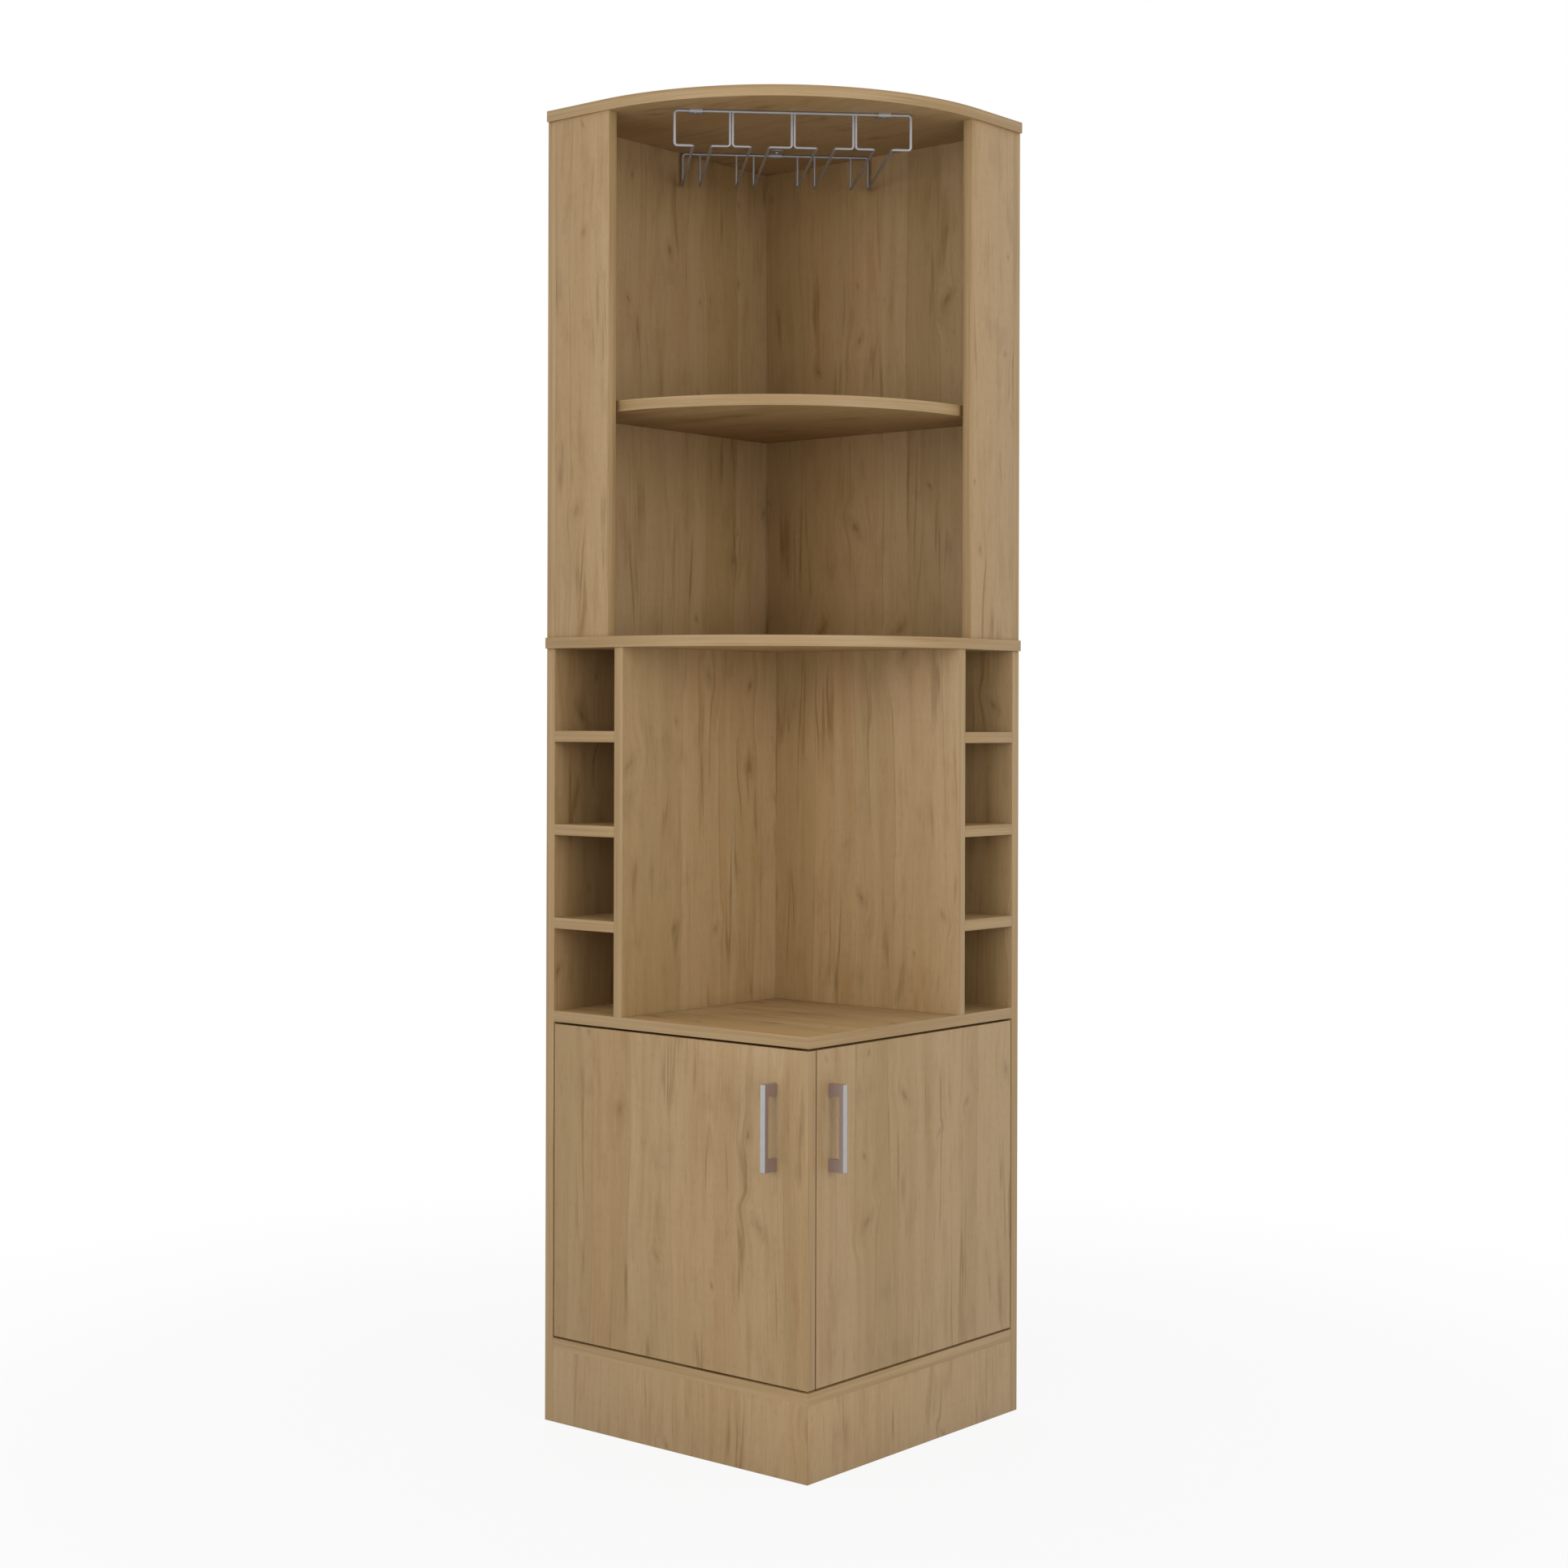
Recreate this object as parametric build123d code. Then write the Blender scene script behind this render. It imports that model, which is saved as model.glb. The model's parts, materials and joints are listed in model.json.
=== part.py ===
from build123d import *
from math import sqrt
import os

# Corner bar cabinet for a right-angled corner of a room. Millimetres, Z up from the floor.
# The wall panels stand on the -X side (left) and the +Y side (right) and meet at the back corner.
# The left front faces -Y and the right front faces +X; they meet at the front corner.
# The origin is on the floor under the middle of the outline, handles included, so that the line
# from the back corner to the front corner passes over it.

# Boards and plan
board = 15.0
unit_width = 465.0
plate_overhang = 3.5
plate_straight = 105.0
overrun = 1.0

# Clear heights between boards, from the floor up
plinth_height = 100.0
cupboard_clear = 434.0
bottle_bay_height = 113.0
bottle_bay_count = 4
display_clear_low = 305.0
display_clear_high = 389.0

# Bottle racks, stiles and upper shelf
bottle_bay_width = 112.5
stile_width = 100.0
shelf_setback = 22.0

# Doors
door_side_gap = 2.0
door_end_gap = 3.0

# Bar handles
handle_projection = 24.0
handle_length = 112.0
handle_width = 8.0
handle_bar = 6.5
handle_foot = 16.0
handle_foot_round = 2.5
handle_end_round = 1.2
handle_inner_round = 2.0
handle_drop = 44.0
left_handle_inset = 55.0
right_handle_inset = 27.5

# Stemware rack, bent from wire; depths count from the front corner along the diagonal
frame_wire = 4.0
rail_wire = 3.5
wire_bend = 4.0
pair_gap = 0.3
wire_to_plate = 0.2
rack_front = 231.5
rack_wall_gap = 3.9
rack_drop = 46.8
rack_half_width = 160.0
rail_spacing = 25.0
inner_slot = 44.5
outer_slot = 122.5

# Clips that hold the rack's bars under the top plate
clip_sheet = 1.0
clip_width = 18.0
clip_reach = 30.0
clip_corner = 4.0
clip_slack = 0.1
left_clip_place = 131.5
right_clip_place = 124.0

# Concealed hinges: a cup in the door turns on a pin at the end of a hooked arm, which reaches
# round the door's hinged edge from a mounting plate on the wall panel
hinge_inset = 80.0
cup_diameter = 35.0
cup_depth = 11.5
cup_wall = 1.0
cup_edge_distance = 4.0
flange_sheet = 1.2
flange_rim = 1.5
wing_length = 62.0
wing_width = 13.0
wing_offset = 9.5
wing_screw_spacing = 48.0
pin = 2.4
pin_fit = 0.05
pin_depth = 8.1
pin_edge_distance = 14.0
pin_overhang = 0.4
lug_sheet = 2.0
lug_rim = 1.35
lug_gap = 0.3
arm_strip = 3.0
arm_width = 9.6
arm_boss_rim = 0.85
arm_bend = 4.5
arm_lift = 10.0
arm_cross = 12.5
arm_neck = 18.7
arm_tail = 34.0
cheek_sheet = 1.2
cheek_lift = 3.0
base_setback = 37.0
base_sheet = 2.5
base_length = 44.0
base_width = 14.0
base_wing_length = 48.0
base_wing_width = 11.0
base_screw_spacing = 32.0
rib_slack = 0.1

# Small screws with round heads: hinges, clips and handles
screw_shank = 3.4
screw_head = 7.0
screw_head_height = 2.0
screw_length = 11.0
screw_fit = 0.1

# Connecting screws through a board's face into the next board's end
connector_head = 10.0
connector_head_height = 3.0
connector_shank = 6.0
connector_length = 50.0
connector_inset = 60.0
tall_connector_inset = 120.0

# Wooden dowels, part in a board's face and part in the next board's end
dowel = 8.0
dowel_length = 30.0
dowel_face_depth = 10.0
dowel_inset = 40.0
drill_fit = 0.1

# Levels
bottom_z = plinth_height
bottom_top = bottom_z + board
worktop_z = bottom_top + cupboard_clear
worktop_top = worktop_z + board
niche_clear = bottle_bay_count * bottle_bay_height + (bottle_bay_count - 1) * board
mid_z = worktop_top + niche_clear
mid_top = mid_z + board
shelf_z = mid_top + display_clear_low
top_z = shelf_z + board + display_clear_high

# Places in plan
half_extent = (unit_width + handle_projection) / 2
wall_x = -half_extent
wall_y = half_extent
front_x = wall_x + unit_width
front_y = wall_y - unit_width
inner_x = wall_x + board
inner_y = wall_y - board
rack_x = inner_x + bottle_bay_width
rack_y = inner_y - bottle_bay_width
divider_face_x = rack_x + board
behind_left_front = front_y + board
behind_right_front = front_x - board
arc_start_x = wall_x + plate_straight

# The plane through the back and front corners, about which left and right are mirrored
diagonal = Plane(origin=(0, 0, 0), z_dir=(1, 1, 0))

pieces = {}


def span_box(x_span, y_span, z_span):
    """A board between two places along each axis."""
    spans = (x_span, y_span, z_span)
    corner = [low for low, high in spans]
    size = [high - low for low, high in spans]
    return Pos(*corner) * Box(*size, align=(Align.MIN, Align.MIN, Align.MIN))


def rod(diameter, start, end):
    """A round rod along Z between two heights."""
    stand = (Align.CENTER, Align.CENTER, Align.MIN)
    return Pos(0, 0, start) * Cylinder(diameter / 2, end - start, align=stand)


def other_side(solid):
    """The same solid on the other front of the cabinet."""
    return mirror(solid, about=diagonal)


def group(solids):
    """Separate solids that share one node."""
    return Compound(children=list(solids))


# Carcass


def corner_plate(back_x, back_y, reach, low_z):
    """A plate over the whole plan; its front corner is one arc tangent to both front edges."""
    edge_x = front_x + reach
    edge_y = front_y - reach
    slab = span_box((back_x, edge_x), (edge_y, back_y), (low_z, low_z + board))
    uprights = slab.edges().filter_by(Axis.Z)
    front_corner = max(uprights, key=lambda edge: edge.center().X - edge.center().Y)
    return fillet(front_corner, edge_x - arc_start_x)


def make_wall_panels():
    """Lower and upper panels on both walls; the right ones butt against the left ones."""
    for level, low, high in (("lower", 0, mid_z), ("upper", mid_top, top_z)):
        left = span_box((wall_x, inner_x), (front_y, wall_y), (low, high))
        right = span_box((inner_x, front_x), (inner_y, wall_y), (low, high))
        pieces[f"{level}_left_side_panel"] = left
        pieces[f"{level}_right_side_panel"] = right


def make_cupboard_boards():
    """Bottom board, worktop and the two plinth boards, which are mitred at the front corner."""
    inside = ((inner_x, front_x), (front_y, inner_y))
    pieces["bottom_board"] = span_box(*inside, (bottom_z, bottom_top))
    pieces["worktop"] = span_box(*inside, (worktop_z, worktop_top))
    outline = Polyline(
        (inner_x, front_y),
        (front_x, front_y),
        (behind_right_front, behind_left_front),
        (inner_x, behind_left_front),
        close=True,
    )
    plinth = extrude(make_face(outline), plinth_height, dir=(0, 0, 1))
    pieces["left_plinth_board"] = plinth
    pieces["right_plinth_board"] = other_side(plinth)


def make_bottle_racks():
    """A divider and its shelves on each side, standing on the worktop."""
    standing = (worktop_top, mid_z)
    left = span_box((rack_x, divider_face_x), (front_y, inner_y), standing)
    right = span_box((divider_face_x, front_x), (rack_y - board, rack_y), standing)
    pieces["left_rack_divider"] = left
    pieces["right_rack_divider"] = right
    for number in range(1, bottle_bay_count):
        low = rack_shelf_z(number)
        level = (low, low + board)
        left = span_box((inner_x, rack_x), (front_y, inner_y), level)
        right = span_box((divider_face_x, front_x), (rack_y, inner_y), level)
        pieces[f"left_rack_shelf_{number}"] = left
        pieces[f"right_rack_shelf_{number}"] = right


def rack_shelf_z(number):
    """Underside of one rack shelf, counted from the bottom."""
    return worktop_top + number * bottle_bay_height + (number - 1) * board


def make_display():
    """Mid plate, stiles, upper shelf and top plate."""
    pieces["mid_plate"] = corner_plate(wall_x, wall_y, plate_overhang, mid_z)
    pieces["top_plate"] = corner_plate(wall_x, wall_y, plate_overhang, top_z)
    pieces["upper_shelf"] = corner_plate(inner_x, inner_y, -shelf_setback, shelf_z)
    across = (inner_x, inner_x + stile_width)
    stile = span_box(across, (front_y, behind_left_front), (mid_top, top_z))
    pieces["left_stile"] = stile
    pieces["right_stile"] = other_side(stile)


# Doors and handles

door_low = bottom_top + door_end_gap
door_high = worktop_z - door_end_gap
left_door_hinge_x = inner_x + door_side_gap
right_door_free_y = behind_left_front + door_side_gap


def make_doors():
    """Inset doors; the left one runs to the front corner and covers the right one's edge."""
    height = (door_low, door_high)
    left = span_box((left_door_hinge_x, front_x), (front_y, behind_left_front), height)
    right_width = (right_door_free_y, inner_y - door_side_gap)
    right = span_box((behind_right_front, front_x), right_width, height)
    pieces["left_door"] = left
    pieces["right_door"] = right


def bar_handle():
    """A bar on two feet; x is its reach out of the door and y runs along it, from its middle."""
    half = handle_length / 2
    inside = half - handle_foot
    bar_back = handle_projection - handle_bar
    corners = {
        (0, half): handle_foot_round,
        (handle_projection, half): handle_end_round,
        (handle_projection, -half): handle_end_round,
        (0, -half): handle_foot_round,
        (0, -inside): handle_foot_round,
        (bar_back, -inside): handle_inner_round,
        (bar_back, inside): handle_inner_round,
        (0, inside): handle_foot_round,
    }
    outline = FilletPolyline(*corners.keys(), radius=list(corners.values()), close=True)
    return extrude(make_face(outline), handle_width / 2, both=True)


def make_handles():
    """One handle on each door, near the edge away from its hinges, with a screw in each foot."""
    middle_z = door_high - handle_drop - handle_length / 2
    left_at = Plane(
        origin=(front_x - left_handle_inset, front_y, middle_z), x_dir=(0, -1, 0), z_dir=(1, 0, 0)
    )
    right_at = Plane(
        origin=(front_x, right_door_free_y + right_handle_inset, middle_z),
        x_dir=(1, 0, 0),
        z_dir=(0, -1, 0),
    )
    foot_middle = handle_length / 2 - handle_foot / 2
    into_handle = Pos(-board, 0, 0) * Rot(0, 90, 0)
    for side, at in (("left", left_at), ("right", right_at)):
        feet = [at * Pos(0, place, 0) * into_handle for place in (-foot_middle, foot_middle)]
        handle = at * bar_handle()
        door = pieces[f"{side}_door"]
        length = board + screw_length
        for foot in feet:
            handle -= foot * rod(screw_shank + screw_fit, 0, length + screw_fit)
            door -= foot * rod(screw_shank + screw_fit, 0, length)
        pieces[f"{side}_handle"] = handle
        pieces[f"{side}_door"] = door
        pieces[f"{side}_handle_screws"] = group(foot * screw(length) for foot in feet)


def screw(length):
    """A round-headed screw; its head's underside is at zero and its shank runs up along Z."""
    return rod(screw_head, -screw_head_height, 0) + rod(screw_shank, 0, length)


# Stemware rack

under_top = Plane(origin=(front_x, front_y, top_z), x_dir=(1, 1, 0), z_dir=(0, 0, 1))
bar_level = -wire_to_plate - frame_wire / 2
rail_level = bar_level - rack_drop
frame_rail = outer_slot + rail_spacing / 2

# The rack's rear corners stop short of the wall panels, which lie at half a right angle to it
rack_rear = sqrt(2) * (front_x - inner_x - rack_wall_gap - frame_wire / 2) - frame_rail


def bent_wire(diameter, points):
    """A wire through the points, each corner bent to the same radius."""
    path = FilletPolyline(*points, radius=wire_bend)
    section = Plane(origin=path @ 0, z_dir=path % 0) * Circle(diameter / 2)
    return sweep(section, path=path)


def inner_rail(rail, upright):
    """One rail with its rear upright, its front foot and the upright to the front bar."""
    points = [
        (upright, rack_front, bar_level),
        (upright, rack_front, rail_level),
        (rail, rack_front, rail_level),
        (rail, rack_rear, rail_level),
        (rail, rack_rear, bar_level),
    ]
    return bent_wire(rail_wire, points)


def make_stemware_rack():
    """Bars, uprights and rails welded into one frame that leaves four slots for stems."""
    half_slot = rail_spacing / 2
    between_slots = (inner_slot + outer_slot) / 2
    pair = (rail_wire + pair_gap) / 2
    frame_points = [
        (0, rack_front, bar_level),
        (rack_half_width, rack_front, bar_level),
        (rack_half_width, rack_front, rail_level),
        (frame_rail, rack_front, rail_level),
        (frame_rail, rack_rear, rail_level),
        (frame_rail, rack_rear, bar_level),
        (0, rack_rear, bar_level),
    ]
    half = bent_wire(frame_wire, frame_points)
    half += inner_rail(outer_slot - half_slot, between_slots + pair)
    half += inner_rail(inner_slot + half_slot, between_slots - pair)
    half += inner_rail(inner_slot - half_slot, pair)
    whole = half + mirror(half, about=Plane.YZ)
    pieces["stemware_rack"] = under_top * whole


def rack_clip():
    """A strap round a bar with a flange for its screw; x runs from the bar along the flange."""
    inner = frame_wire / 2 + clip_slack
    outer = inner + clip_sheet
    plate = -bar_level
    saddle = Circle(outer) - Circle(inner)
    saddle &= Pos(0, -outer) * Rectangle(2 * outer, 2 * outer)
    for side in (-1, 1):
        leg = Rectangle(clip_sheet, plate, align=(Align.CENTER, Align.MIN))
        saddle += Pos(side * (inner + clip_sheet / 2), 0) * leg
    length = clip_reach - inner
    flange = Pos(inner, plate) * Rectangle(length, clip_sheet, align=(Align.MIN, Align.MAX))
    clip = extrude(saddle + flange, clip_width / 2, both=True)
    tips = clip.edges().filter_by(Axis.Y).sort_by(Axis.X)[-2:]
    return fillet(tips, clip_corner)


def make_clips():
    """Two clips on the front bar and one on the rear bar, each with a screw into the top plate."""
    hole = (frame_wire / 2 + clip_slack + clip_reach) / 2
    places = (
        (-left_clip_place, rack_front, 1),
        (right_clip_place, rack_front, 1),
        (0, rack_rear, -1),
    )
    clips = []
    screws = []
    for across, depth, towards in places:
        at = Plane(
            origin=under_top.from_local_coords((across, depth, bar_level)),
            x_dir=under_top.y_dir * towards,
            z_dir=under_top.x_dir * towards,
        )
        up = at * Pos(hole, -bar_level - clip_sheet, 0) * Rot(-90, 0, 0)
        drill = up * rod(screw_shank + screw_fit, -overrun, screw_length + screw_fit)
        clips.append(at * rack_clip() - drill)
        screws.append(up * screw(screw_length))
        pieces["top_plate"] -= drill
    pieces["rack_clips"] = group(clips)
    pieces["rack_clip_screws"] = group(screws)


# Concealed hinges, built on the left door and mirrored for the right one


def hinge_levels():
    """Heights of a door's two hinges."""
    return (door_low + hinge_inset, door_high - hinge_inset)


def cup_place(level):
    """Centre of a cup's mouth in the left door's back; x runs away from the hinged edge."""
    cup_x = left_door_hinge_x + cup_edge_distance + cup_diameter / 2
    return Plane(origin=(cup_x, behind_left_front, level), x_dir=(1, 0, 0), z_dir=(0, 1, 0))


def wing_screws():
    """Places of a cup's two screws in its flange."""
    half = wing_screw_spacing / 2
    return (Pos(wing_offset, -half, 0), Pos(wing_offset, half, 0))


def hinge_cup():
    """A cup with its flange and screw wings, and two lugs on its floor that hold the pin."""
    pin_in_cup = pin_edge_distance - cup_edge_distance - cup_diameter / 2
    flange = Circle(cup_diameter / 2 + flange_rim)
    flange += Pos(wing_offset, 0) * Rot(0, 0, 90) * SlotOverall(wing_length, wing_width)
    cup = extrude(flange, flange_sheet) + rod(cup_diameter, -cup_depth, 0)
    cup -= rod(cup_diameter - 2 * cup_wall, cup_wall - cup_depth, flange_sheet + overrun)
    for place in wing_screws():
        cup -= place * rod(screw_shank + screw_fit, -overrun, flange_sheet + overrun)
    lug_radius = pin / 2 + pin_fit + lug_rim
    lug = Circle(lug_radius) + Rectangle(
        2 * lug_radius, cup_depth - pin_depth - cup_wall / 2, align=(Align.CENTER, Align.MIN)
    )
    lug -= Circle(pin / 2 + pin_fit)
    for side in (-1, 1):
        near = side * (arm_width / 2 + lug_gap)
        at = Plane(origin=(pin_in_cup, near, -pin_depth), x_dir=(side, 0, 0), z_dir=(0, side, 0))
        cup += at * extrude(lug, lug_sheet)
    return cup


def hinge_pin_plane(level):
    """The middle of a hinge's pin; x runs back into the cupboard and y off the wall panel."""
    x = left_door_hinge_x + pin_edge_distance
    y = behind_left_front - pin_depth
    return Plane(origin=(x, y, level), x_dir=(0, 1, 0), z_dir=(0, 0, -1))


def hinge_pin():
    """A pin through the arm's boss and both lugs."""
    half = arm_width / 2 + lug_gap + lug_sheet + pin_overhang
    return rod(pin, -half, half)


def hinge_arm():
    """A strip bent from its boss on the pin round the door's edge to a channel on the rib."""
    off_panel = arm_lift + arm_strip / 2 - door_side_gap - pin_edge_distance
    tail_end = pin_depth + base_setback + arm_tail / 2
    cross = pin_depth + arm_cross
    path = FilletPolyline(
        (tail_end, off_panel),
        (cross, off_panel),
        (cross, arm_neck),
        (0, arm_neck),
        (0, 0),
        radius=arm_bend,
    )
    boss = Circle(pin / 2 + pin_fit + arm_boss_rim)
    profile = trace(path, line_width=arm_strip) + boss - Circle(pin / 2 + pin_fit)
    cheek_height = arm_lift + arm_strip - cheek_lift
    cheek = Pos(tail_end, off_panel + arm_strip / 2) * Rectangle(
        arm_tail, cheek_height, align=(Align.MAX, Align.MAX)
    )
    cheeks = extrude(cheek, arm_width / 2 + cheek_sheet, both=True)
    cheeks -= extrude(cheek, arm_width / 2, both=True)
    return extrude(profile, arm_width / 2, both=True) + cheeks


def base_screws():
    """Places of a mounting plate's two screws."""
    half = base_screw_spacing / 2
    return (Pos(0, -half, 0), Pos(0, half, 0))


def hinge_base():
    """A cross-shaped mounting plate with the rib under the arm; z points off the panel."""
    cross = Rectangle(base_length, base_width)
    cross += Rot(0, 0, 90) * SlotOverall(base_wing_length, base_wing_width)
    rib = Rectangle(arm_tail, arm_width - 2 * rib_slack)
    base = extrude(cross, base_sheet) + extrude(rib, arm_lift)
    for place in base_screws():
        base -= place * rod(screw_shank + screw_fit, -overrun, base_sheet + overrun)
    return base


def make_hinges():
    """Two hinges to each door, with their seats and screws."""
    cups, cup_screws, bases, base_screw_set, arms, pins = [], [], [], [], [], []
    for level in hinge_levels():
        at_cup = cup_place(level)
        seat = at_cup * rod(cup_diameter + drill_fit, -cup_depth - drill_fit, overrun)
        cut_on_both("left_door", "right_door", seat)
        cups.append(at_cup * hinge_cup())
        for place in wing_screws():
            into_door = at_cup * place * Pos(0, 0, flange_sheet) * Rot(180, 0, 0)
            drill = into_door * rod(screw_shank + screw_fit, 0, screw_length + screw_fit)
            cut_on_both("left_door", "right_door", drill)
            cup_screws.append(into_door * screw(screw_length))
        base_y = behind_left_front + base_setback
        at_base = Plane(origin=(inner_x, base_y, level), x_dir=(0, 1, 0), z_dir=(1, 0, 0))
        bases.append(at_base * hinge_base())
        for place in base_screws():
            into_panel = at_base * place * Pos(0, 0, base_sheet) * Rot(180, 0, 0)
            drill = into_panel * rod(screw_shank + screw_fit, 0, screw_length + screw_fit)
            cut_on_both("lower_left_side_panel", "lower_right_side_panel", drill)
            base_screw_set.append(into_panel * screw(screw_length))
        arms.append(hinge_pin_plane(level) * hinge_arm())
        pins.append(hinge_pin_plane(level) * hinge_pin())
    for name, solids in (
        ("hinge_cups", cups),
        ("hinge_cup_screws", cup_screws),
        ("hinge_bases", bases),
        ("hinge_base_screws", base_screw_set),
        ("hinge_arms", arms),
        ("hinge_pins", pins),
    ):
        pieces[f"left_{name}"] = group(solids)
        pieces[f"right_{name}"] = group([other_side(solid) for solid in solids])


def cut_on_both(left_name, right_name, tool):
    """Cut a tool from a left piece and its mirror image from the right one."""
    pieces[left_name] -= tool
    pieces[right_name] -= other_side(tool)


# Connecting screws and dowels

connectors = []
dowels = []


def connect(outer_name, inner_name, point, direction):
    """A connecting screw from a point on the outer board's face into the inner board's end."""
    at = Plane(origin=point, z_dir=direction)
    head = rod(connector_head + drill_fit, -overrun, connector_head_height)
    shank = rod(connector_shank + drill_fit, 0, connector_length + drill_fit)
    pieces[outer_name] -= at * (head + shank)
    pieces[inner_name] -= at * shank
    screw_head_part = rod(connector_head, 0, connector_head_height)
    connectors.append(at * (screw_head_part + rod(connector_shank, 0, connector_length)))


def peg(face_name, end_name, point, direction):
    """A dowel across a joint: the direction points from the face's board into the end's board."""
    at = Plane(origin=point, z_dir=direction)
    end_depth = dowel_length - dowel_face_depth
    drill = at * rod(dowel + drill_fit, -dowel_face_depth, end_depth + drill_fit)
    pieces[face_name] -= drill
    pieces[end_name] -= drill
    dowels.append(at * rod(dowel, -dowel_face_depth, end_depth))


def inset_pair(low, high, inset):
    """Two places, each the inset away from one end of a span."""
    return (low + inset, high - inset)


def make_connectors():
    """Screws through the wall panels, the mid plate and the top plate."""
    half = board / 2
    for level, low, high in (("lower", 0, mid_z), ("upper", mid_top, top_z)):
        for z in inset_pair(low, high, tall_connector_inset):
            panels = (f"{level}_left_side_panel", f"{level}_right_side_panel")
            connect(*panels, (wall_x, inner_y + half, z), (1, 0, 0))
    for name, level in (("bottom_board", bottom_z), ("worktop", worktop_z)):
        connect_to_walls("lower", name, level + half)
    connect_to_walls("upper", "upper_shelf", shelf_z + half)
    for number in range(1, bottle_bay_count):
        level = rack_shelf_z(number) + half
        point = (wall_x, (front_y + inner_y) / 2, level)
        connect("lower_left_side_panel", f"left_rack_shelf_{number}", point, (1, 0, 0))
        point = ((divider_face_x + front_x) / 2, wall_y, level)
        connect("lower_right_side_panel", f"right_rack_shelf_{number}", point, (0, -1, 0))
    for z in inset_pair(worktop_top, mid_z, connector_inset):
        point = (rack_x + half, wall_y, z)
        connect("lower_right_side_panel", "left_rack_divider", point, (0, -1, 0))
    for z in inset_pair(mid_top, top_z, tall_connector_inset):
        point = (wall_x, front_y + half, z)
        connect("upper_left_side_panel", "left_stile", point, (1, 0, 0))
        point = (front_x - half, wall_y, z)
        connect("upper_right_side_panel", "right_stile", point, (0, -1, 0))
    for plate, top, level in (("mid_plate", mid_top, "lower"), ("top_plate", top_z + board, "upper")):
        for y in inset_pair(front_y, inner_y, connector_inset):
            point = (wall_x + half, y, top)
            connect(plate, f"{level}_left_side_panel", point, (0, 0, -1))
        for x in inset_pair(inner_x, front_x, connector_inset):
            point = (x, inner_y + half, top)
            connect(plate, f"{level}_right_side_panel", point, (0, 0, -1))
    pieces["connecting_screws"] = group(connectors)


def connect_to_walls(level, name, z):
    """Two screws through each wall panel into the end of a board."""
    for y in inset_pair(front_y, inner_y, connector_inset):
        connect(f"{level}_left_side_panel", name, (wall_x, y, z), (1, 0, 0))
    for x in inset_pair(divider_face_x, front_x, connector_inset):
        connect(f"{level}_right_side_panel", name, (x, wall_y, z), (0, -1, 0))


def make_dowels():
    """Dowels at the joints that no screw reaches unseen."""
    half = board / 2
    for number in range(1, bottle_bay_count):
        level = rack_shelf_z(number) + half
        for y in inset_pair(front_y, rack_y - board, dowel_inset):
            shelf = f"left_rack_shelf_{number}"
            peg("left_rack_divider", shelf, (rack_x, y, level), (-1, 0, 0))
        for x in inset_pair(divider_face_x, front_x, dowel_inset):
            shelf = f"right_rack_shelf_{number}"
            peg("right_rack_divider", shelf, (x, rack_y, level), (0, 1, 0))
    for z in inset_pair(worktop_top, mid_z, dowel_inset):
        point = (divider_face_x, rack_y - half, z)
        peg("left_rack_divider", "right_rack_divider", point, (1, 0, 0))
    for name, level, up in (("worktop", worktop_top, 1), ("mid_plate", mid_z, -1)):
        point = (rack_x + half, front_y + dowel_inset, level)
        peg(name, "left_rack_divider", point, (0, 0, up))
        point = (front_x - dowel_inset, rack_y - half, level)
        peg(name, "right_rack_divider", point, (0, 0, up))
    for y in inset_pair(front_y, inner_y, dowel_inset):
        point = (wall_x + half, y, mid_top)
        peg("mid_plate", "upper_left_side_panel", point, (0, 0, 1))
    for x in inset_pair(inner_x, front_x, dowel_inset):
        point = (x, inner_y + half, mid_top)
        peg("mid_plate", "upper_right_side_panel", point, (0, 0, 1))
    stile_middle = inner_x + stile_width / 2
    peg_both_sides("mid_plate", "stile", (stile_middle, front_y + half, mid_top), (0, 0, 1))
    peg_both_sides("top_plate", "stile", (stile_middle, front_y + half, top_z), (0, 0, -1))
    for x in inset_pair(inner_x, behind_right_front, dowel_inset):
        point = (x, front_y + half, bottom_z)
        peg_both_sides("bottom_board", "plinth_board", point, (0, 0, -1))
    pieces["wooden_dowels"] = group(dowels)


def peg_both_sides(face_name, end_name, point, direction):
    """A vertical dowel into a left piece and its mirror image into the right one."""
    peg(face_name, f"left_{end_name}", point, direction)
    x, y, z = point
    peg(face_name, f"right_{end_name}", (-y, -x, z), direction)


def save():
    """Write every piece to its own file."""
    os.makedirs("parts", exist_ok=True)
    for name, solid in pieces.items():
        export_step(solid, f"parts/{name}.step")


make_wall_panels()
make_cupboard_boards()
make_bottle_racks()
make_display()
make_doors()
make_handles()
make_stemware_rack()
make_clips()
make_hinges()
make_connectors()
make_dowels()
save()
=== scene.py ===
"""Looks of a corner bar cabinet: oak-print boards, satin handles and a plated wire rack.

Every length is in metres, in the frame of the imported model: Z is up from the floor, the wall
panels stand at the left (-X) and the right (+Y), and the two fronts meet at the front corner.
"""

from __future__ import annotations

import json
import logging
import math
from contextlib import contextmanager
from dataclasses import dataclass, field, replace
from enum import Enum
from typing import Any, Iterator

import bmesh
import bpy
from mathutils import Matrix, Vector

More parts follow.
